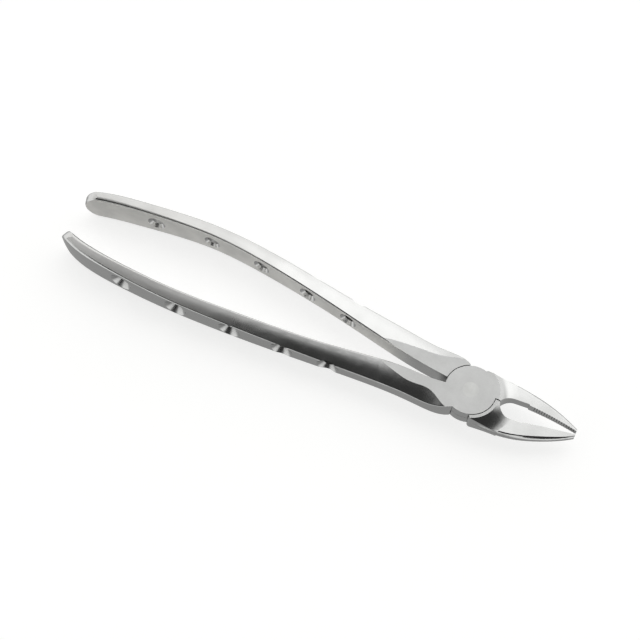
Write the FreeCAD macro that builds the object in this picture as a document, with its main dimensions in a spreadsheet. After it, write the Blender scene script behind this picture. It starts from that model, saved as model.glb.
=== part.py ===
"""Extraction forceps: two forged halves that cross at a lap joint, and the rivet that joins them.

Frame: millimetres, +X from the joint towards the beak tips, +Z up through the rivet.
The origin is the centre of the joint's lower flat face, on the rivet's axis.
Each half is built the same way about its own middle plane, with its handle on the +Y side, its
disc in the lower layer of the lap joint and its beak on the -Y side. The upper-layer half is then
turned over about the X axis, and both are lifted so that the joint stands on Z = 0.
"""
import FreeCAD, Part
import math
import os
import Sketcher

VECTOR = FreeCAD.Vector

# ---------------------------------------------------------------- driving dimensions

JOINT = {
    "joint_thickness": 7.5,
    "disc_radius": 7.9,
    "shoulder_radius": 8.15,
    "boss_radius": 9.1,
    "boss_flank_run": 5.8,
    "boss_flank_drop": 1.85,
    "neck_corner": 1.2,
    "lap_gap": 0.1,
    "rivet_shank_radius": 2.0,
    "rivet_head_radius": 2.5,
    "rivet_head_depth": 0.5,
    "rivet_running_gap": 0.04,
}

HOLE = {
    "bore_radius": 1.9,
    "inner_sink_radius": 3.1,
    "inner_sink_depth": 1.2,
    "outer_sink_radius": 3.7,
    "outer_sink_depth": 1.8,
}
HOLE_PLACES = [-115.7, -95.8, -77.0, -59.2, -43.8]

# How far each drill goes past the handle's faces, and how far to either side of a hole the handle's
# slope is measured so that the hole stands square to it.
DRILL_CLEARANCE = 3
SLOPE_STEP = 8

# Handle sections: place along X, thickness, how far the rounded sides fall towards the outer face,
# and the radius of the four corners.
HANDLE_SECTIONS = [
    (-140.3, 3.0, 0.6, 1.1),
    (-134.0, 3.8, 0.7, 1.2),
    (-122.0, 4.0, 0.8, 0.9),
    (-105.0, 4.2, 0.9, 0.6),
    (-86.0, 4.6, 0.9, 0.5),
    (-64.0, 5.2, 0.9, 0.5),
    (-43.0, 6.2, 1.0, 0.5),
    (-26.0, 7.5, 1.3, 0.5),
    (-13.0, 7.9, 1.5, 0.45),
    (-7.5, 8.2, 1.3, 0.4),
    (-4.6, 7.8, 1.2, 0.4),
    (-3.1, 7.2, 1.2, 0.4),
]
HANDLE_END_RADIUS = 6.1

# Size of the box that keeps all of the handle beyond its round end.
HANDLE_ROOM = 160

# Distance of each handle's inner face from the X axis, and its half height, at those places.
INNER_FACE = {
    "lower": [7.4, 9.1, 11.1, 13.0, 13.0, 10.2, 6.45, 3.15, 1.4, 0.9, 0.7, 0.6],
    "upper": [3.3, 5.5, 7.4, 8.3, 7.9, 6.4, 4.1, 1.8, 1.5, 0.9, 0.4, 0.2],
}
INNER_HEIGHT = {
    "lower": [6.0, 6.1, 5.95, 5.3, 4.9, 4.35, 3.75, 3.87, 4.38, 4.75, 5.0, 5.1],
    "upper": [6.0, 6.1, 5.95, 5.3, 4.9, 4.35, 3.75, 3.82, 4.03, 4.5, 5.0, 5.1],
}

# Beak sections: place along X, half height, and radius of the ridge where the top turns outwards.
BEAK_SECTIONS = [
    (2.6, 1.9, 0.45),
    (9.0, 1.9, 0.45),
    (14.0, 1.9, 0.45),
    (18.0, 1.85, 0.45),
    (23.0, 1.65, 0.4),
    (29.0, 1.4, 0.35),
    (34.1, 1.15, 0.3),
]
BEAK_INNER_LIMIT = 1.6

# Distance of the ridge, and of the outermost line, from the X axis at those places.
BEAK_RIDGE = {
    "lower": [7.5, 8.4, 8.0, 7.0, 5.0, 2.35, -0.5],
    "upper": [7.2, 8.0, 7.7, 7.1, 6.1, 4.3, 2.45],
}
BEAK_OUTSIDE = {
    "lower": [8.1, 9.0, 8.6, 7.8, 6.1, 3.3, 0.15],
    "upper": [7.8, 8.7, 8.4, 7.9, 7.0, 5.2, 3.0],
}

# Inner edge of each beak, along X and across: the neck, the round end of the mouth, the plain
# stretch, the small step where the grip starts, and the grip up to the tip.
BEAK_INSIDE = {
    "lower": [(9.6, -0.3), (10.7, 1.75), (13.5, 3.1), (18.0, 2.75), (18.3, 2.4),
              (26.5, 0.5), (34.8, -1.15)],
    "upper": [(9.6, 0.65), (10.7, 2.25), (13.5, 3.6), (18.0, 3.95), (18.3, 3.6),
              (26.5, 3.1), (34.8, 1.95)],
}

# Half height of the cutter that opens the mouth, and how far it reaches past the X axis.
MOUTH_DEPTH = 10
MOUTH_WIDTH = 20

# The neck's two straight sides: how far from the rivet's axis it starts along X, and how far out
# across it goes. They meet in an upright corner of radius neck_corner.
NECK_START = {"lower": 2.6, "upper": 1.8}
NECK_OUTSIDE = {"lower": 8.6, "upper": 8.0}

# Room left for the neck beyond those two sides, long and wide enough to pass the whole boss.
NECK_ROOM = {
    "neck_room_length": 60,
    "neck_room_width": 30,
}

# Height of the cutter that clears each half for the other's disc, from the lap face upwards.
RECESS_DEPTH = 10

# Fine cross cuts in the gripping face: how many, and the side and length of the square bar that
# makes each. At both ends of the grip there is room for GRIP_PLAIN_ENDS more.
GRIP_CUTS = {
    "grip_cut_count": 17,
    "grip_cut_side": 0.2,
    "grip_bar_length": 8,
}
GRIP_PLAIN_ENDS = 2

# Block that is ground away above and below the joint's flat faces. It starts at the handle section
# that is just as tall as the joint, whose number in the list above is LEVEL_SECTION.
GRINDING = {
    "wheel_length": 60,
    "wheel_width": 40,
    "wheel_depth": 4,
}
LEVEL_SECTION = 6

# ---------------------------------------------------------------- document and sheet

doc = FreeCAD.newDocument("extraction_forceps")
sheet = doc.addObject("Spreadsheet::Sheet", "dims")
next_row = 1


def store(alias, value):
    """Put one plain number in the sheet under a name of its own."""
    global next_row
    sheet.set(f"A{next_row}", alias)
    sheet.set(f"B{next_row}", str(value))
    sheet.setAlias(f"B{next_row}", alias)
    next_row += 1


def store_all():
    for table in (JOINT, HOLE, NECK_ROOM, GRIP_CUTS, GRINDING):
        for alias, value in table.items():
            store(alias, value)
    store("handle_end_radius", HANDLE_END_RADIUS)
    store("beak_inner_limit", BEAK_INNER_LIMIT)
    store("recess_depth", RECESS_DEPTH)
    store("handle_room", HANDLE_ROOM)
    for number, place in enumerate(HOLE_PLACES):
        store(f"hole_place_{number}", place)
    for number, row in enumerate(HANDLE_SECTIONS):
        for name, value in zip(("place", "thickness", "fall", "corner"), row):
            store(f"handle_{name}_{number}", value)
    for number, row in enumerate(BEAK_SECTIONS):
        for name, value in zip(("place", "height", "corner"), row):
            store(f"beak_{name}_{number}", value)
    for layer in ("lower", "upper"):
        store(f"{layer}_neck_start", NECK_START[layer])
        store(f"{layer}_neck_outside", NECK_OUTSIDE[layer])
        for number, value in enumerate(INNER_FACE[layer]):
            store(f"{layer}_face_{number}", value)
        for number, value in enumerate(INNER_HEIGHT[layer]):
            store(f"{layer}_height_{number}", value)
        for number, value in enumerate(BEAK_RIDGE[layer]):
            store(f"{layer}_ridge_{number}", value)
        for number, value in enumerate(BEAK_OUTSIDE[layer]):
            store(f"{layer}_outside_{number}", value)
        for number, point in enumerate(BEAK_INSIDE[layer]):
            store(f"{layer}_mouth_along_{number}", point[0])
            store(f"{layer}_mouth_across_{number}", point[1])
    doc.recompute()


def size(alias):
    """Read one cell of the sheet."""
    return float(sheet.get(alias))


# ---------------------------------------------------------------- small helpers

ACROSS = FreeCAD.Rotation(VECTOR(0, 1, 0), VECTOR(0, 0, 1), VECTOR(1, 0, 0), "XYZ")


def bind(item, **expressions):
    for prop, expression in expressions.items():
        item.setExpression(prop.replace("__", "."), expression)
    return item


def boolean(kind, name, base, tool):
    item = doc.addObject(kind, name)
    item.Base = base
    item.Tool = tool
    return item


def fuse(name, base, tool):
    return boolean("Part::Fuse", name, base, tool)


def cut(name, base, tool):
    return boolean("Part::Cut", name, base, tool)


def common(name, base, tool):
    return boolean("Part::Common", name, base, tool)


def section_sketch(name, place):
    """An empty sketch square to the X axis: its own x runs along +Y and its y along +Z."""
    sketch = doc.addObject("Sketcher::SketchObject", name)
    sketch.Placement = FreeCAD.Placement(VECTOR(0, 0, 0), ACROSS)
    sketch.setExpression("Placement.Base.x", place)
    return sketch


def dimension(sketch, name, expression, *constraint):
    """Add one named size to a sketch and bind it to the sheet."""
    index = sketch.addConstraint(Sketcher.Constraint(*constraint))
    sketch.renameConstraint(index, name)
    sketch.setExpression(f"Constraints.{name}", expression)


def loft(name, sections):
    item = doc.addObject("Part::Loft", name)
    item.Sections = sections
    item.Solid = True
    item.Ruled = False
    return item


# ---------------------------------------------------------------- handle

def arc_of(centre, radius, start, end):
    return Part.ArcOfCircle(Part.Circle(centre, VECTOR(0, 0, 1), radius), start, end)


def direction_of(centre, seen_from):
    return math.atan2(centre.y - seen_from.y, centre.x - seen_from.x)


def handle_section(layer, number):
    """D-shaped section: flat inner and outer faces, sides that fall in an arc, rounded corners."""
    thickness = size(f"handle_thickness_{number}")
    tall = size(f"{layer}_height_{number}")
    fall = size(f"handle_fall_{number}")
    corner = size(f"handle_corner_{number}")
    near = size(f"{layer}_face_{number}")
    far = near + thickness
    radius = (thickness ** 2 + fall ** 2) / (2 * fall)
    reach = radius - corner
    middle = VECTOR(near, tall - radius, 0)
    inside = VECTOR(near + corner, middle.y + math.sqrt(reach ** 2 - corner ** 2), 0)
    outside = VECTOR(far - corner, middle.y + math.sqrt(reach ** 2 - (thickness - corner) ** 2), 0)
    turn_in = direction_of(inside, middle)
    turn_out = direction_of(outside, middle)
    half_turn = math.pi
    shapes = [
        Part.LineSegment(VECTOR(far, -outside.y, 0), VECTOR(far, outside.y, 0)),
        arc_of(outside, corner, 0, turn_out),
        arc_of(middle, radius, turn_out, turn_in),
        arc_of(inside, corner, turn_in, half_turn),
        Part.LineSegment(VECTOR(near, inside.y, 0), VECTOR(near, -inside.y, 0)),
        arc_of(mirrored(inside), corner, half_turn, 2 * half_turn - turn_in),
        arc_of(mirrored(middle), radius, -turn_in, -turn_out),
        arc_of(mirrored(outside), corner, -turn_out, 0),
    ]
    sketch = section_sketch(f"{layer}_handle_section_{number}", f"dims.handle_place_{number}")
    outer, outer_top, top, inner_top, inner, inner_low, low, outer_low = sketch.addGeometry(shapes)
    around = [outer, outer_top, top, inner_top, inner, inner_low, low, outer_low]
    for one, following in zip(around, around[1:] + around[:1]):
        sketch.addConstraint(Sketcher.Constraint("Tangent", one, 2, following, 1))
    for line in (inner, outer):
        sketch.addConstraint(Sketcher.Constraint("Vertical", line))
    for rounded in (inner_top, inner_low, outer_low):
        sketch.addConstraint(Sketcher.Constraint("Equal", outer_top, rounded))
    sketch.addConstraint(Sketcher.Constraint("Equal", top, low))
    sketch.addConstraint(Sketcher.Constraint("PointOnObject", top, 3, inner))
    sketch.addConstraint(Sketcher.Constraint("Symmetric", top, 3, low, 3, -1))
    side = f"((dims.handle_thickness_{number} ^ 2 + dims.handle_fall_{number} ^ 2)"
    side += f" / (2 * dims.handle_fall_{number}))"
    dimension(sketch, "face", f"dims.{layer}_face_{number}", "DistanceX", -1, 1, inner, 1, near)
    dimension(sketch, "thickness", f"dims.handle_thickness_{number}",
              "DistanceX", inner, 1, outer, 1, thickness)
    dimension(sketch, "corner", f"dims.handle_corner_{number}", "Radius", outer_top, corner)
    dimension(sketch, "side_radius", side, "Radius", top, radius)
    dimension(sketch, "side_depth", f"{side} - dims.{layer}_height_{number}",
              "DistanceY", top, 3, -1, 1, radius - tall)
    return sketch


def mirrored(point):
    return VECTOR(point.x, -point.y, point.z)


def handle_end(layer):
    """Round end of the handle: a disc with a rounded rim, and a box for all that lies beyond it."""
    radius = size("handle_end_radius")
    thickness = size("handle_thickness_1")
    places = [size(f"handle_place_{n}") for n in range(2)]
    middles = [size(f"{layer}_face_{n}") + size(f"handle_thickness_{n}") / 2 for n in range(2)]
    rise = (middles[1] - middles[0]) / (places[1] - places[0])
    along = VECTOR(1, rise, 0).normalize()
    outward = VECTOR(-along.y, along.x, 0)
    centre = VECTOR(places[0], middles[0], 0) + along * radius
    disc = doc.addObject("Part::Cylinder", f"{layer}_end_disc")
    bind(disc, Radius="dims.handle_end_radius", Height="dims.handle_thickness_1")
    turn = FreeCAD.Rotation(VECTOR(0, 0, 1), outward)
    disc.Placement = FreeCAD.Placement(centre - outward * (thickness / 2), turn)
    doc.recompute()
    rim = size("handle_corner_1")
    round_disc = doc.addObject("Part::Fillet", f"{layer}_end_rounded")
    round_disc.Base = disc
    round_disc.Edges = [(number, rim, rim) for number in circular_edges(disc.Shape)]
    reach = size("handle_room")
    rest = doc.addObject("Part::Box", f"{layer}_end_rest")
    bind(rest, Length="dims.handle_room", Width="2 * dims.handle_room", Height="dims.handle_room")
    corner = centre - outward * reach - VECTOR(0, 0, reach / 2)
    rest.Placement = FreeCAD.Placement(corner, FreeCAD.Rotation(VECTOR(1, 0, 0), along))
    return fuse(f"{layer}_end_outline", rest, round_disc)


def circular_edges(shape):
    return [n for n, edge in enumerate(shape.Edges, 1) if isinstance(edge.Curve, Part.Circle)]


def along_handle(place, values):
    """Straight-line reading, at one place, of values given at the handle's sections."""
    places = [size(f"handle_place_{n}") for n in range(len(values))]
    for n in range(len(values) - 1):
        if places[n] <= place <= places[n + 1]:
            share = (place - places[n]) / (places[n + 1] - places[n])
            return values[n] + share * (values[n + 1] - values[n])
    raise ValueError(f"{place} is off the handle")


def hole_cutter(layer, number):
    """One cross hole with its two countersinks, square to the handle where it stands."""
    place = size(f"hole_place_{number}")
    count = len(HANDLE_SECTIONS)
    thickness = [size(f"handle_thickness_{n}") for n in range(count)]
    middles = [size(f"{layer}_face_{n}") + thickness[n] / 2 for n in range(count)]
    half = along_handle(place, thickness) / 2
    step = SLOPE_STEP
    rise = along_handle(place + step, middles) - along_handle(place - step, middles)
    outward = VECTOR(-rise, 2 * step, 0)
    clear = DRILL_CLEARANCE
    name = f"{layer}_hole_{number}"
    bore = doc.addObject("Part::Cylinder", f"{name}_bore")
    bore.Placement.Base = VECTOR(0, 0, -half - clear)
    bind(bore, Radius="dims.bore_radius", Height=f"{2 * (half + clear)}")
    inner = sink(f"{name}_inner_sink", "inner", -half, clear, -1)
    outer = sink(f"{name}_outer_sink", "outer", half, clear, 1)
    cutter = doc.addObject("Part::MultiFuse", name)
    cutter.Shapes = [bore, inner, outer]
    turn = FreeCAD.Rotation(VECTOR(0, 0, 1), outward)
    cutter.Placement = FreeCAD.Placement(VECTOR(place, along_handle(place, middles), 0), turn)
    return cutter


def sink(name, side, face, clear, way):
    """Cone of one countersink, widest at the handle's face and carried on beyond it."""
    cone = doc.addObject("Part::Cone", name)
    slope = f"(dims.{side}_sink_radius - dims.bore_radius) / dims.{side}_sink_depth"
    wide = f"dims.{side}_sink_radius + {clear} * {slope}"
    if way > 0:
        bind(cone, Radius1="dims.bore_radius", Radius2=wide,
             Placement__Base__z=f"{face} - dims.{side}_sink_depth")
    else:
        bind(cone, Radius1=wide, Radius2="dims.bore_radius", Placement__Base__z=f"{face} - {clear}")
    bind(cone, Height=f"dims.{side}_sink_depth + {clear}")
    return cone


def handle(layer):
    sections = [handle_section(layer, number) for number in range(len(HANDLE_SECTIONS))]
    blank = common(f"{layer}_handle_blank", loft(f"{layer}_handle_loft", sections), handle_end(layer))
    drills = doc.addObject("Part::MultiFuse", f"{layer}_drills")
    drills.Shapes = [hole_cutter(layer, number) for number in range(len(HOLE_PLACES))]
    return cut(f"{layer}_handle", blank, drills)


# ---------------------------------------------------------------- beak

def beak_section(layer, number):
    """Level top and bottom out to a rounded ridge, then a back that bulges outwards in an arc."""
    tall = size(f"beak_height_{number}")
    corner = size(f"beak_corner_{number}")
    limit = size("beak_inner_limit")
    outside = -size(f"{layer}_outside_{number}")
    bulge = size(f"{layer}_outside_{number}") - size(f"{layer}_ridge_{number}")
    radius = arc_radius(tall, bulge)
    middle = VECTOR(outside + radius, 0, 0)
    reach = radius - corner
    ridge = VECTOR(middle.x - math.sqrt(reach ** 2 - (tall - corner) ** 2), tall - corner, 0)
    upright = math.pi / 2
    lean = direction_of(ridge, middle)
    full_turn = 2 * math.pi
    shapes = [
        Part.LineSegment(VECTOR(limit, -tall, 0), VECTOR(limit, tall, 0)),
        Part.LineSegment(VECTOR(limit, tall, 0), VECTOR(ridge.x, tall, 0)),
        arc_of(ridge, corner, upright, lean),
        arc_of(middle, radius, lean, full_turn - lean),
        arc_of(mirrored(ridge), corner, full_turn - lean, full_turn - upright),
        Part.LineSegment(VECTOR(ridge.x, -tall, 0), VECTOR(limit, -tall, 0)),
    ]
    sketch = section_sketch(f"{layer}_beak_section_{number}", f"dims.beak_place_{number}")
    inner, top, top_ridge, back, low_ridge, bottom = sketch.addGeometry(shapes)
    for one, following in ((top, top_ridge), (top_ridge, back), (back, low_ridge), (low_ridge, bottom)):
        sketch.addConstraint(Sketcher.Constraint("Tangent", one, 2, following, 1))
    for one, following in ((bottom, inner), (inner, top)):
        sketch.addConstraint(Sketcher.Constraint("Coincident", one, 2, following, 1))
    for line in (top, bottom):
        sketch.addConstraint(Sketcher.Constraint("Horizontal", line))
    sketch.addConstraint(Sketcher.Constraint("Symmetric", inner, 1, inner, 2, -1))
    sketch.addConstraint(Sketcher.Constraint("PointOnObject", back, 3, -1))
    sketch.addConstraint(Sketcher.Constraint("Equal", top_ridge, low_ridge))
    rise = f"(dims.{layer}_outside_{number} - dims.{layer}_ridge_{number})"
    back_radius = f"((dims.beak_height_{number} ^ 2 + {rise} ^ 2) / (2 * {rise}))"
    dimension(sketch, "limit", "dims.beak_inner_limit", "DistanceX", -1, 1, inner, 1, limit)
    dimension(sketch, "tall", f"2 * dims.beak_height_{number}",
              "DistanceY", inner, 1, inner, 2, 2 * tall)
    dimension(sketch, "corner", f"dims.beak_corner_{number}", "Radius", top_ridge, corner)
    dimension(sketch, "back_radius", back_radius, "Radius", back, radius)
    dimension(sketch, "back_depth", f"dims.beak_inner_limit + dims.{layer}_outside_{number} - {back_radius}",
              "DistanceX", back, 3, inner, 1, limit - middle.x)
    return sketch


def arc_radius(half_chord, rise):
    return (half_chord ** 2 + rise ** 2) / (2 * rise)


def boss_profile():
    """Half section of the boss: flat on both sides, with a hollow run-out that ends level."""
    half = size("joint_thickness") / 2
    radius = size("boss_radius")
    run = size("boss_flank_run")
    drop = size("boss_flank_drop")
    hollow = arc_radius(run, drop)
    lean = math.asin(run / hollow) / 2
    foot = VECTOR(radius + run, 0, half - drop)
    waist = VECTOR(foot.x - hollow * math.sin(lean), 0, foot.z + hollow * (1 - math.cos(lean)))
    brim = VECTOR(radius, 0, half)
    under_foot, under_waist, under_brim = (VECTOR(p.x, 0, -p.z) for p in (foot, waist, brim))
    edges = [
        Part.LineSegment(VECTOR(0, 0, half), brim),
        Part.Arc(brim, waist, foot),
        Part.LineSegment(foot, under_foot),
        Part.Arc(under_foot, under_waist, under_brim),
        Part.LineSegment(under_brim, VECTOR(0, 0, -half)),
        Part.LineSegment(VECTOR(0, 0, -half), VECTOR(0, 0, half)),
    ]
    return Part.Face(Part.Wire([edge.toShape() for edge in edges]))


def neck_room(layer):
    """The space that the boss and the beak may fill, rounded where the neck begins."""
    start = size(f"{layer}_neck_start")
    outside = size(f"{layer}_neck_outside")
    box = doc.addObject("Part::Box", f"{layer}_neck_box")
    bind(box, Length="dims.neck_room_length", Width="dims.neck_room_width",
         Height="2 * dims.joint_thickness",
         Placement__Base__x=f"dims.{layer}_neck_start", Placement__Base__y=f"-dims.{layer}_neck_outside",
         Placement__Base__z="-dims.joint_thickness")
    doc.recompute()
    corner = size("neck_corner")
    on_the_edge = Part.Vertex(VECTOR(start, -outside, 0))
    touching = 0.01
    upright = [number for number, edge in enumerate(box.Shape.Edges, 1)
               if edge.distToShape(on_the_edge)[0] < touching]
    rounded = doc.addObject("Part::Fillet", f"{layer}_neck_room")
    rounded.Base = box
    rounded.Edges = [(number, corner, corner) for number in upright]
    return rounded


def boss(layer):
    """The flat round face about the rivet, kept to the beak's own side."""
    turned = doc.addObject("Part::Feature", f"{layer}_boss_round")
    turned.Shape = boss_profile().revolve(VECTOR(0, 0, 0), VECTOR(0, 0, 1), 360)
    return common(f"{layer}_boss", turned, neck_room(layer))


def inner_edge(layer, level):
    """The seven points of the beak's inner edge, at one height."""
    return [VECTOR(size(f"{layer}_mouth_along_{n}"), -size(f"{layer}_mouth_across_{n}"), level)
            for n in range(len(BEAK_INSIDE[layer]))]


def mouth(layer):
    """Everything on the far side of the beak's inner edge, which is cut away."""
    deep = MOUTH_DEPTH
    clear = MOUTH_WIDTH
    neck, round_end, plain, step_from, step_to, grip, past_tip = inner_edge(layer, -deep)
    start = VECTOR(0, neck.y, neck.z)
    far_tip = VECTOR(past_tip.x, clear, neck.z)
    far_start = VECTOR(0, clear, neck.z)
    edges = [
        Part.LineSegment(start, neck),
        Part.Arc(neck, round_end, plain),
        Part.LineSegment(plain, step_from),
        Part.LineSegment(step_from, step_to),
        Part.Arc(step_to, grip, past_tip),
        Part.LineSegment(past_tip, far_tip),
        Part.LineSegment(far_tip, far_start),
        Part.LineSegment(far_start, start),
    ]
    face = Part.Face(Part.Wire([edge.toShape() for edge in edges]))
    item = doc.addObject("Part::Feature", f"{layer}_mouth")
    item.Shape = face.extrude(VECTOR(0, 0, 2 * deep))
    return item


def grip_cuts(layer):
    """Square bars set cornerwise along the gripping face, whose corners bite into it."""
    step_to, grip, past_tip = inner_edge(layer, 0)[-3:]
    count = round(size("grip_cut_count"))
    margin = GRIP_PLAIN_ENDS
    places = Part.Arc(step_to, grip, past_tip).discretize(Number=count + 2 * margin)
    half_diagonal = size("grip_cut_side") / math.sqrt(2)
    bars = []
    for number, place in enumerate(places[margin:-margin]):
        bar = doc.addObject("Part::Box", f"{layer}_grip_cut_{number}")
        bind(bar, Length="dims.grip_cut_side", Width="dims.grip_cut_side", Height="dims.grip_bar_length")
        corner = place - VECTOR(0, half_diagonal, size("grip_bar_length") / 2)
        bar.Placement = FreeCAD.Placement(corner, FreeCAD.Rotation(VECTOR(0, 0, 1), 45))
        bars.append(bar)
    cuts = doc.addObject("Part::MultiFuse", f"{layer}_grip_cuts")
    cuts.Shapes = bars
    return cuts


def beak(layer):
    sections = [beak_section(layer, number) for number in range(len(BEAK_SECTIONS))]
    blank = fuse(f"{layer}_beak_blank", loft(f"{layer}_beak_loft", sections), boss(layer))
    return cut(f"{layer}_beak", cut(f"{layer}_beak_plain", blank, mouth(layer)), grip_cuts(layer))


# ---------------------------------------------------------------- halves and rivet

def half(layer, title):
    """One forging: handle and beak, ground flat at the joint, recessed for the other half's disc."""
    name = f"{layer}_half"
    forged = fuse(f"{name}_forged", handle(layer), beak(layer))
    ground = cut(f"{name}_ground", forged, grinding(layer))
    recess = doc.addObject("Part::Cylinder", f"{name}_recess")
    bind(recess, Radius="dims.shoulder_radius", Height="dims.recess_depth",
         Placement__Base__z="-dims.lap_gap / 2")
    disc = doc.addObject("Part::Cylinder", f"{name}_disc")
    bind(disc, Radius="dims.disc_radius", Height="(dims.joint_thickness - dims.lap_gap) / 2",
         Placement__Base__z="-dims.joint_thickness / 2")
    lapped = fuse(f"{name}_lapped", cut(f"{name}_recessed", ground, recess), disc)
    gap = "dims.rivet_running_gap" if layer == "lower" else "0"
    finished = cut(title, lapped, rivet_shape(f"{name}_rivet_seat", gap))
    finished.Label = title
    return finished


def grinding(layer):
    """What grinding takes off above and below the joint's flat faces."""
    stock = doc.addObject("Part::MultiFuse", f"{layer}_grinding")
    wheels = []
    joint_top = "dims.joint_thickness / 2"
    for name, low in (("top", joint_top), ("bottom", f"-{joint_top} - dims.wheel_depth")):
        wheel = doc.addObject("Part::Box", f"{layer}_grinding_{name}")
        bind(wheel, Length="dims.wheel_length", Width="dims.wheel_width", Height="dims.wheel_depth",
             Placement__Base__x=f"dims.handle_place_{LEVEL_SECTION}",
             Placement__Base__y="-dims.wheel_width / 2", Placement__Base__z=low)
        wheels.append(wheel)
    stock.Shapes = wheels
    return stock


def rivet_shape(name, gap):
    """Shank with a flush head peened into a countersink at each face."""
    half_height = "dims.joint_thickness / 2"
    shank = doc.addObject("Part::Cylinder", f"{name}_shank")
    bind(shank, Radius=f"dims.rivet_shank_radius + {gap}", Height="dims.joint_thickness",
         Placement__Base__z=f"-{half_height}")
    top = doc.addObject("Part::Cone", f"{name}_top")
    bind(top, Radius1=f"dims.rivet_shank_radius + {gap}", Radius2=f"dims.rivet_head_radius + {gap}",
         Height="dims.rivet_head_depth", Placement__Base__z=f"{half_height} - dims.rivet_head_depth")
    bottom = doc.addObject("Part::Cone", f"{name}_bottom")
    bind(bottom, Radius1=f"dims.rivet_head_radius + {gap}", Radius2=f"dims.rivet_shank_radius + {gap}",
         Height="dims.rivet_head_depth", Placement__Base__z=f"-{half_height}")
    item = doc.addObject("Part::MultiFuse", name)
    item.Shapes = [shank, top, bottom]
    return item


def build():
    store_all()
    lower = half("lower", "lower_layer_half")
    upper = half("upper", "upper_layer_half")
    rivet = rivet_shape("joint_rivet", "0")
    rivet.Label = "joint_rivet"
    lift = "dims.joint_thickness / 2"
    upper.Placement.Rotation = FreeCAD.Rotation(VECTOR(1, 0, 0), 180)
    pieces = [lower, upper, rivet]
    for piece in pieces:
        bind(piece, Placement__Base__z=lift)
    doc.recompute()
    return pieces


def check_and_write(pieces):
    faulty = [item.Name for item in doc.Objects if {"Invalid", "Error"} & set(item.State)]
    if faulty:
        raise RuntimeError(f"failed objects: {faulty}")
    os.makedirs("parts", exist_ok=True)
    for piece in pieces:
        shape = piece.Shape
        if shape.isNull() or not shape.isValid() or len(shape.Solids) != 1:
            raise RuntimeError(f"{piece.Label} is not one valid solid")
    for piece in pieces:
        piece.Shape.exportStep(f"parts/{piece.Label}.step")
        box = piece.Shape.BoundBox
        print(piece.Label, round(piece.Shape.Volume), [round(v, 1) for v in
              (box.XMin, box.XMax, box.YMin, box.YMax, box.ZMin, box.ZMax)])


check_and_write(build())
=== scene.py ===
"""Looks of the extraction forceps: satin, matt and polished stainless steel, lying on a pale table."""
import math

import bpy
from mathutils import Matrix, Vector


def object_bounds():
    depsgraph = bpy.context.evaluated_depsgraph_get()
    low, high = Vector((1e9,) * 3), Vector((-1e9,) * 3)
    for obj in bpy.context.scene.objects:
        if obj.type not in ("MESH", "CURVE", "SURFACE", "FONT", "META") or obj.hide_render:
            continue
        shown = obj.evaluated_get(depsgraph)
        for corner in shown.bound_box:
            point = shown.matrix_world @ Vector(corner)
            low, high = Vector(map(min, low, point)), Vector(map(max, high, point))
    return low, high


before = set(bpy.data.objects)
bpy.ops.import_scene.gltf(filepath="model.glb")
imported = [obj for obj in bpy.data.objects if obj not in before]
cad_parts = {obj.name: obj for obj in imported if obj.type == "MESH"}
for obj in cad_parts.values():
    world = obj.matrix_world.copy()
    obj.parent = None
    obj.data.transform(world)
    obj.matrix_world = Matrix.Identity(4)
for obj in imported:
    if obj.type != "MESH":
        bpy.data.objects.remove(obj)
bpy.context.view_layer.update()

# ---------------------------------------------------------------- places on the forceps, in metres

JOINT_TOP = 0.0075

# The joint's ground faces: how upright their normals are at least, and how near they are at most to
# the joint's top or bottom.
LEVEL_COSINE = 0.9994
LEVEL_MARGIN = 0.0001

# Along X, the matt finish inside the handles fades out over GRIP_FADE before GRIP_END, and the satin
# finish of the palms fades out from PALM_START to PALM_END.
GRIP_END = -0.018
GRIP_FADE = 0.012
PALM_START = -0.115
PALM_END = -0.045

# Parts of a face's normal between which a finish comes in: inward on the handles' inner faces, and
# upright on their broad backs.
INNER_FACING = (0.90, 0.94)
BROAD_FACING = (0.84, 0.92)

# Painted shade in gaps and hollows: how far round a spot cover is felt for, the open shares between which
# it goes from darkest to unshaded, and the largest share of painted shade. Hollows get painted shade on
# faces that look outward, and it fades out as the inward part of the normal goes from one to the other of
# HOLLOW_FACING.
GAP_REACH = 0.0030
GAP_OPEN = (0.35, 0.66)
GAP_DARKEST = 0.92
HOLLOW_REACH = 0.0060
HOLLOW_OPEN = (0.45, 0.85)
HOLLOW_DARKEST = 0.85
HOLLOW_FACING = (-0.10, 0.30)
COVER_SAMPLES = 6

# ---------------------------------------------------------------- finishes

STEEL_TINT = (0.510, 0.512, 0.510)
DULL_TINT = (0.43, 0.43, 0.425)
SATIN_TINT = (0.66, 0.663, 0.66)
WORN_TINT = (0.61, 0.608, 0.60)
MATT_TINT = (0.90, 0.893, 0.868)
RIVET_TINT = (0.70, 0.705, 0.695)
# Painted shade: the near-black that the base colour goes to in gaps, bores and countersinks.
PAINTED_SHADE_TINT = (0.05, 0.05, 0.048)

# The lowest and the highest roughness of each.
POLISHED_ROUGHNESS = (0.15, 0.22)
WORN_ROUGHNESS = (0.42, 0.50)
SATIN_ROUGHNESS = (0.56, 0.64)
MATT_ROUGHNESS = (0.48, 0.58)
RIVET_ROUGHNESS = (0.54, 0.62)

# Noise: its scale for coordinates in metres, and its detail. Of its values, NOISE_SPAN is used.
CLOUDS = (140.0, 2.0)
GRAINS = (2600.0, 2.0)
BRUSH_LINES = (1500.0, 4.0)
RIVET_CLOUDS = (300.0, 2.0)
NOISE_ROUGHNESS = 0.55
NOISE_SPAN = (0.3, 0.7)
EVEN = (1.0, 1.0, 1.0)
BRUSHED = (0.06, 1.0, 1.0)

# The most that the clouds dull the tint of the halves and of the rivet.
HALF_DULLING = 0.25
RIVET_DULLING = 0.3
BUMP_STRENGTH = 0.10
BUMP_DISTANCE = 0.00002

# ---------------------------------------------------------------- camera, table and studio

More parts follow.
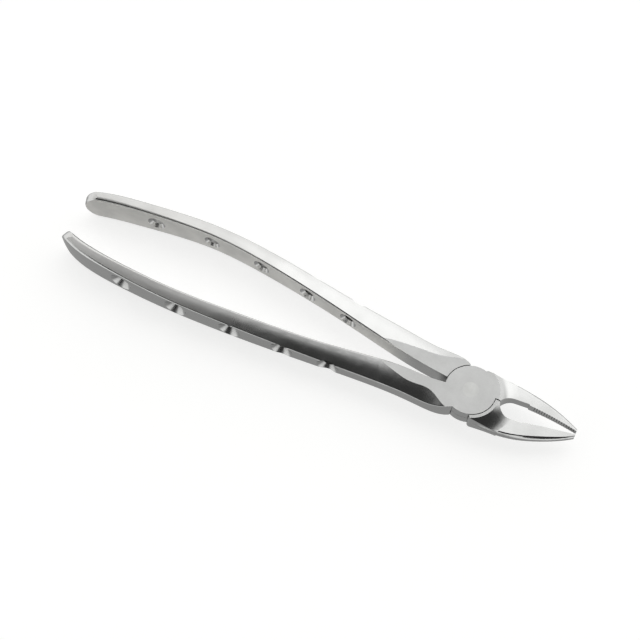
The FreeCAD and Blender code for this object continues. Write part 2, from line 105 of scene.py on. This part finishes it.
CAMERA_AZIMUTH = 25.0
CAMERA_ELEVATION = 66.0
CAMERA_DISTANCE = 0.3663
CAMERA_ASIDE = -0.0460
CAMERA_UP = 0.02125
CAMERA_LENS = 67.5
CAMERA_NEAREST = 0.01

TABLE_REACH = 3.0
TABLE_TINT = (0.35, 0.35, 0.348)
TABLE_ROUGHNESS = 0.9
TABLE_SPECULAR = 0.1
TABLE_GLOW = (1.0, 1.0, 0.995)
TABLE_GLOW_LEVEL = 0.76

STUDIO_TINT = (1.0, 1.0, 0.99)
DIM_WAY = Vector((0.35, -0.55, 0.76)).normalized()
BRIGHT_WAY = Vector((0.15, 0.61, 0.77)).normalized()
SKY_LEVEL = 0.95
BRIGHT_LEVEL = 1.9
DIM_LEVEL = 0.05
HORIZON_LEVEL = 1.3
GROUND_LEVEL = 0.42

# Where one part of the studio turns into the next: as a height, from -1 straight down to 1 straight
# up, or as the cosine of the angle from the middle of the dim side or of the bright panel.
GROUND_TO_HORIZON = (-0.65, -0.15)
HORIZON_TO_SKY = (0.35, 0.60)
DIM_FOOT = (0.06, 0.20)
DIM_EDGE = (0.47, 0.74)
PANEL_EDGE = (0.84, 0.95)

# ---------------------------------------------------------------- node helpers


def new_material(name):
    """An empty material and its nodes."""
    material = bpy.data.materials.new(name)
    material.use_nodes = True
    return material, Nodes(material.node_tree)


class Nodes:
    """Short forms for the shader nodes that the materials and the studio share."""

    def __init__(self, tree):
        self.tree = tree

    def add(self, kind, **settings):
        node = self.tree.nodes.new(kind)
        for key, value in settings.items():
            setattr(node, key, value)
        return node

    def join(self, source, target):
        if isinstance(source, (int, float)):
            target.default_value = source
        else:
            self.tree.links.new(source, target)

    def stretched(self, scale):
        """Coordinates fixed to the piece, with one scale for each axis."""
        place = self.add("ShaderNodeTexCoord")
        mapping = self.add("ShaderNodeMapping")
        mapping.inputs["Scale"].default_value = scale
        self.join(place.outputs["Object"], mapping.inputs["Vector"])
        return mapping.outputs["Vector"]

    def noise(self, vector, scale, detail):
        node = self.add("ShaderNodeTexNoise")
        node.inputs["Scale"].default_value = scale
        node.inputs["Detail"].default_value = detail
        node.inputs["Roughness"].default_value = NOISE_ROUGHNESS
        self.join(vector, node.inputs["Vector"])
        return node.outputs["Fac"]

    def math(self, operation, first, second=0.0):
        node = self.add("ShaderNodeMath", operation=operation)
        self.join(first, node.inputs[0])
        self.join(second, node.inputs[1])
        return node.outputs["Value"]

    def remap(self, value, from_low, from_high, to_low, to_high, smooth=False):
        """Carry a value from one stretch to another, and hold it at the ends."""
        node = self.add("ShaderNodeMapRange", interpolation_type="SMOOTHSTEP" if smooth else "LINEAR")
        node.inputs["From Min"].default_value = from_low
        node.inputs["From Max"].default_value = from_high
        node.inputs["To Min"].default_value = to_low
        node.inputs["To Max"].default_value = to_high
        self.join(value, node.inputs["Value"])
        return node.outputs["Result"]

    def mix(self, share, first, second):
        """Mix two numbers, each fixed or another node's output."""
        node = self.add("ShaderNodeMix", data_type="FLOAT")
        self.join(share, node.inputs["Factor"])
        self.join(first, node.inputs[2])
        self.join(second, node.inputs[3])
        return node.outputs[0]

    def blend(self, share, first, second):
        """Mix two colours, each fixed or another node's output."""
        node = self.add("ShaderNodeMix", data_type="RGBA")
        self.join(share, node.inputs["Factor"])
        for colour, socket in ((first, node.inputs[6]), (second, node.inputs[7])):
            if isinstance(colour, tuple):
                socket.default_value = (*colour, 1.0)
            else:
                self.join(colour, socket)
        return node.outputs[2]


# ---------------------------------------------------------------- materials


def level_mask(nodes):
    """One on the joint's two ground faces, at its top and its bottom, and nought elsewhere."""
    place = nodes.add("ShaderNodeTexCoord")
    facing = nodes.add("ShaderNodeSeparateXYZ")
    nodes.join(place.outputs["Normal"], facing.inputs["Vector"])
    upright = nodes.math("ABSOLUTE", facing.outputs["Z"])
    level = nodes.math("GREATER_THAN", upright, LEVEL_COSINE)
    point = nodes.add("ShaderNodeSeparateXYZ")
    nodes.join(place.outputs["Object"], point.inputs["Vector"])
    off_middle = nodes.math("ABSOLUTE", nodes.math("SUBTRACT", point.outputs["Z"], JOINT_TOP / 2))
    at_face = nodes.math("GREATER_THAN", off_middle, JOINT_TOP / 2 - LEVEL_MARGIN)
    return nodes.math("MULTIPLY", level, at_face)


def grip_mask(nodes, inward):
    """One on the matt inner face of a handle, which looks along inward (+1 or -1 times Y)."""
    place = nodes.add("ShaderNodeTexCoord")
    facing = nodes.add("ShaderNodeSeparateXYZ")
    nodes.join(place.outputs["Normal"], facing.inputs["Vector"])
    along = nodes.add("ShaderNodeSeparateXYZ")
    nodes.join(place.outputs["Object"], along.inputs["Vector"])
    turned = nodes.math("MULTIPLY", facing.outputs["Y"], inward)
    inner = nodes.remap(turned, *INNER_FACING, 0.0, 1.0, smooth=True)
    on_handle = nodes.remap(along.outputs["X"], GRIP_END - GRIP_FADE, GRIP_END, 1.0, 0.0, smooth=True)
    return nodes.math("MULTIPLY", inner, on_handle)


def palm_mask(nodes):
    """One on a handle's broad back at the palm, where its polish is satin, and nought from its middle on.

    The rounded corners stay polished.
    """
    place = nodes.add("ShaderNodeTexCoord")
    along = nodes.add("ShaderNodeSeparateXYZ")
    nodes.join(place.outputs["Object"], along.inputs["Vector"])
    facing = nodes.add("ShaderNodeSeparateXYZ")
    nodes.join(place.outputs["Normal"], facing.inputs["Vector"])
    upright = nodes.math("ABSOLUTE", facing.outputs["Z"])
    broad = nodes.remap(upright, *BROAD_FACING, 0.0, 1.0, smooth=True)
    near = nodes.remap(along.outputs["X"], PALM_START, PALM_END, 1.0, 0.0, smooth=True)
    return nodes.math("MULTIPLY", broad, near)


def crevice_shade_mask(nodes, inward):
    """How much painted shade a spot gets for lying in a gap, or in a bore or the countersink on a
    handle's outer face.
    """
    gap = nodes.add("ShaderNodeAmbientOcclusion", samples=COVER_SAMPLES)
    gap.inputs["Distance"].default_value = GAP_REACH
    in_gap = nodes.remap(gap.outputs["AO"], *GAP_OPEN, GAP_DARKEST, 0.0)
    hollow = nodes.add("ShaderNodeAmbientOcclusion", samples=COVER_SAMPLES, only_local=True)
    hollow.inputs["Distance"].default_value = HOLLOW_REACH
    in_hollow = nodes.remap(hollow.outputs["AO"], *HOLLOW_OPEN, HOLLOW_DARKEST, 0.0)
    place = nodes.add("ShaderNodeTexCoord")
    facing = nodes.add("ShaderNodeSeparateXYZ")
    nodes.join(place.outputs["Normal"], facing.inputs["Vector"])
    turned = nodes.math("MULTIPLY", facing.outputs["Y"], inward)
    outward = nodes.remap(turned, *HOLLOW_FACING, 1.0, 0.0)
    return nodes.math("MAXIMUM", in_gap, nodes.math("MULTIPLY", in_hollow, outward))


def steel(name, inward):
    """Stainless steel: polished, but satin on the joint's flat faces and the palms, and matt inside; its
    gaps and hollows get painted shade.
    """
    material, nodes = new_material(name)
    shader = material.node_tree.nodes["Principled BSDF"]
    shader.inputs["Metallic"].default_value = 1.0
    level = level_mask(nodes)
    grip = grip_mask(nodes, inward)
    even = nodes.stretched(EVEN)
    clouds = nodes.noise(even, *CLOUDS)
    grains = nodes.noise(even, *GRAINS)
    lines = nodes.noise(nodes.stretched(BRUSHED), *BRUSH_LINES)
    polished = nodes.remap(clouds, *NOISE_SPAN, *POLISHED_ROUGHNESS)
    worn = nodes.remap(clouds, *NOISE_SPAN, *WORN_ROUGHNESS)
    palm = palm_mask(nodes)
    curved = nodes.mix(palm, polished, worn)
    satin = nodes.remap(grains, *NOISE_SPAN, *SATIN_ROUGHNESS)
    matt = nodes.remap(grains, *NOISE_SPAN, *MATT_ROUGHNESS)
    rough = nodes.mix(grip, nodes.mix(level, curved, satin), matt)
    nodes.join(rough, shader.inputs["Roughness"])
    back = nodes.blend(palm, STEEL_TINT, WORN_TINT)
    clean = nodes.blend(grip, nodes.blend(level, back, SATIN_TINT), MATT_TINT)
    uneven = nodes.blend(nodes.remap(clouds, *NOISE_SPAN, 0.0, HALF_DULLING), clean, DULL_TINT)
    # Painted shade: the base colour darkens in gaps, bores and countersinks, where the ambient occlusion
    # finds cover.
    shade_share = crevice_shade_mask(nodes, inward)
    nodes.join(nodes.blend(shade_share, uneven, PAINTED_SHADE_TINT), shader.inputs["Base Color"])
    bump = nodes.add("ShaderNodeBump")
    bump.inputs["Strength"].default_value = BUMP_STRENGTH
    bump.inputs["Distance"].default_value = BUMP_DISTANCE
    nodes.join(nodes.mix(grip, lines, grains), bump.inputs["Height"])
    nodes.join(bump.outputs["Normal"], shader.inputs["Normal"])
    return material


def rivet_steel():
    """The peened heads: ground level with the joint faces, satin like them, and a little brighter."""
    material, nodes = new_material("rivet_head_steel")
    shader = material.node_tree.nodes["Principled BSDF"]
    shader.inputs["Metallic"].default_value = 1.0
    even = nodes.stretched(EVEN)
    grains = nodes.noise(even, *GRAINS)
    nodes.join(nodes.remap(grains, *NOISE_SPAN, *RIVET_ROUGHNESS), shader.inputs["Roughness"])
    clouds = nodes.noise(even, *RIVET_CLOUDS)
    uneven = nodes.blend(nodes.remap(clouds, *NOISE_SPAN, 0.0, RIVET_DULLING), RIVET_TINT, DULL_TINT)
    nodes.join(uneven, shader.inputs["Base Color"])
    return material


def table_material():
    """Plain pale board, with a faint glow of its own that keeps the shadows light."""
    material, _ = new_material("pale_table")
    shader = material.node_tree.nodes["Principled BSDF"]
    shader.inputs["Base Color"].default_value = (*TABLE_TINT, 1.0)
    shader.inputs["Roughness"].default_value = TABLE_ROUGHNESS
    shader.inputs["Specular IOR Level"].default_value = TABLE_SPECULAR
    shader.inputs["Emission Color"].default_value = (*TABLE_GLOW, 1.0)
    shader.inputs["Emission Strength"].default_value = TABLE_GLOW_LEVEL
    return material


# ---------------------------------------------------------------- stage


def make_floor():
    """A large flat table under the forceps. The steel mirrors the studio's ground in its place."""
    low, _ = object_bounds()
    corners = [(-TABLE_REACH, -TABLE_REACH, low.z), (TABLE_REACH, -TABLE_REACH, low.z),
               (TABLE_REACH, TABLE_REACH, low.z), (-TABLE_REACH, TABLE_REACH, low.z)]
    mesh = bpy.data.meshes.new("floor")
    mesh.from_pydata(corners, [], [(0, 1, 2, 3)])
    mesh.materials.append(table_material())
    floor = bpy.data.objects.new("floor", mesh)
    floor.visible_glossy = False
    bpy.context.scene.collection.objects.link(floor)


def make_surroundings():
    """Soft studio: an even sky, a brighter panel high on the far side, a dim room over the near side.

    The steel mirrors this sky, and a plain low-lit ground in place of the table.
    """
    world = bpy.data.worlds.new("studio")
    bpy.context.scene.world = world
    world.use_nodes = True
    nodes = Nodes(world.node_tree)
    background = world.node_tree.nodes["Background"]
    place = nodes.add("ShaderNodeTexCoord")
    split = nodes.add("ShaderNodeSeparateXYZ")
    nodes.join(place.outputs["Generated"], split.inputs["Vector"])
    height = split.outputs["Z"]

    def nearness(way):
        """Cosine of the angle between a direction and way."""
        node = nodes.add("ShaderNodeVectorMath", operation="DOT_PRODUCT")
        nodes.join(place.outputs["Generated"], node.inputs[0])
        node.inputs[1].default_value = way
        return node.outputs["Value"]

    high = nodes.remap(height, *DIM_FOOT, 0.0, 1.0, smooth=True)
    dim = nodes.math("MULTIPLY", nodes.remap(nearness(DIM_WAY), *DIM_EDGE, 0.0, 1.0, smooth=True), high)
    low = nodes.remap(height, *GROUND_TO_HORIZON, GROUND_LEVEL, HORIZON_LEVEL, smooth=True)
    sky = nodes.mix(nodes.remap(height, *HORIZON_TO_SKY, 0.0, 1.0, smooth=True), low, SKY_LEVEL)
    panel = nodes.remap(nearness(BRIGHT_WAY), *PANEL_EDGE, 0.0, 1.0, smooth=True)
    lit = nodes.mix(panel, sky, BRIGHT_LEVEL)
    nodes.join(nodes.mix(dim, lit, DIM_LEVEL), background.inputs["Strength"])
    background.inputs["Color"].default_value = (*STUDIO_TINT, 1.0)


def make_camera():
    """A camera above the near side, aimed beside the joint, towards the handles."""
    turn, lift = math.radians(CAMERA_AZIMUTH), math.radians(CAMERA_ELEVATION)
    back = Vector((math.sin(turn) * math.cos(lift), -math.cos(turn) * math.cos(lift), math.sin(lift)))
    right = Vector((math.cos(turn), math.sin(turn), 0.0))
    up = back.cross(right)
    aim = Vector((0.0, 0.0, JOINT_TOP)) + right * CAMERA_ASIDE + up * CAMERA_UP
    camera = bpy.data.objects.new("camera", bpy.data.cameras.new("camera"))
    camera.data.lens = CAMERA_LENS
    camera.data.clip_start = CAMERA_NEAREST
    camera.location = aim + back * CAMERA_DISTANCE
    camera.rotation_euler = (-back).to_track_quat("-Z", "Y").to_euler()
    bpy.context.scene.collection.objects.link(camera)
    bpy.context.scene.camera = camera
    bpy.context.scene.view_settings.view_transform = "Standard"


# ---------------------------------------------------------------- the scene

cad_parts["upper_layer_half"].data.materials[0] = steel("upper_half_steel", 1.0)
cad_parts["lower_layer_half"].data.materials[0] = steel("lower_half_steel", -1.0)
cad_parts["joint_rivet"].data.materials[0] = rivet_steel()

make_floor()
make_surroundings()
make_camera()
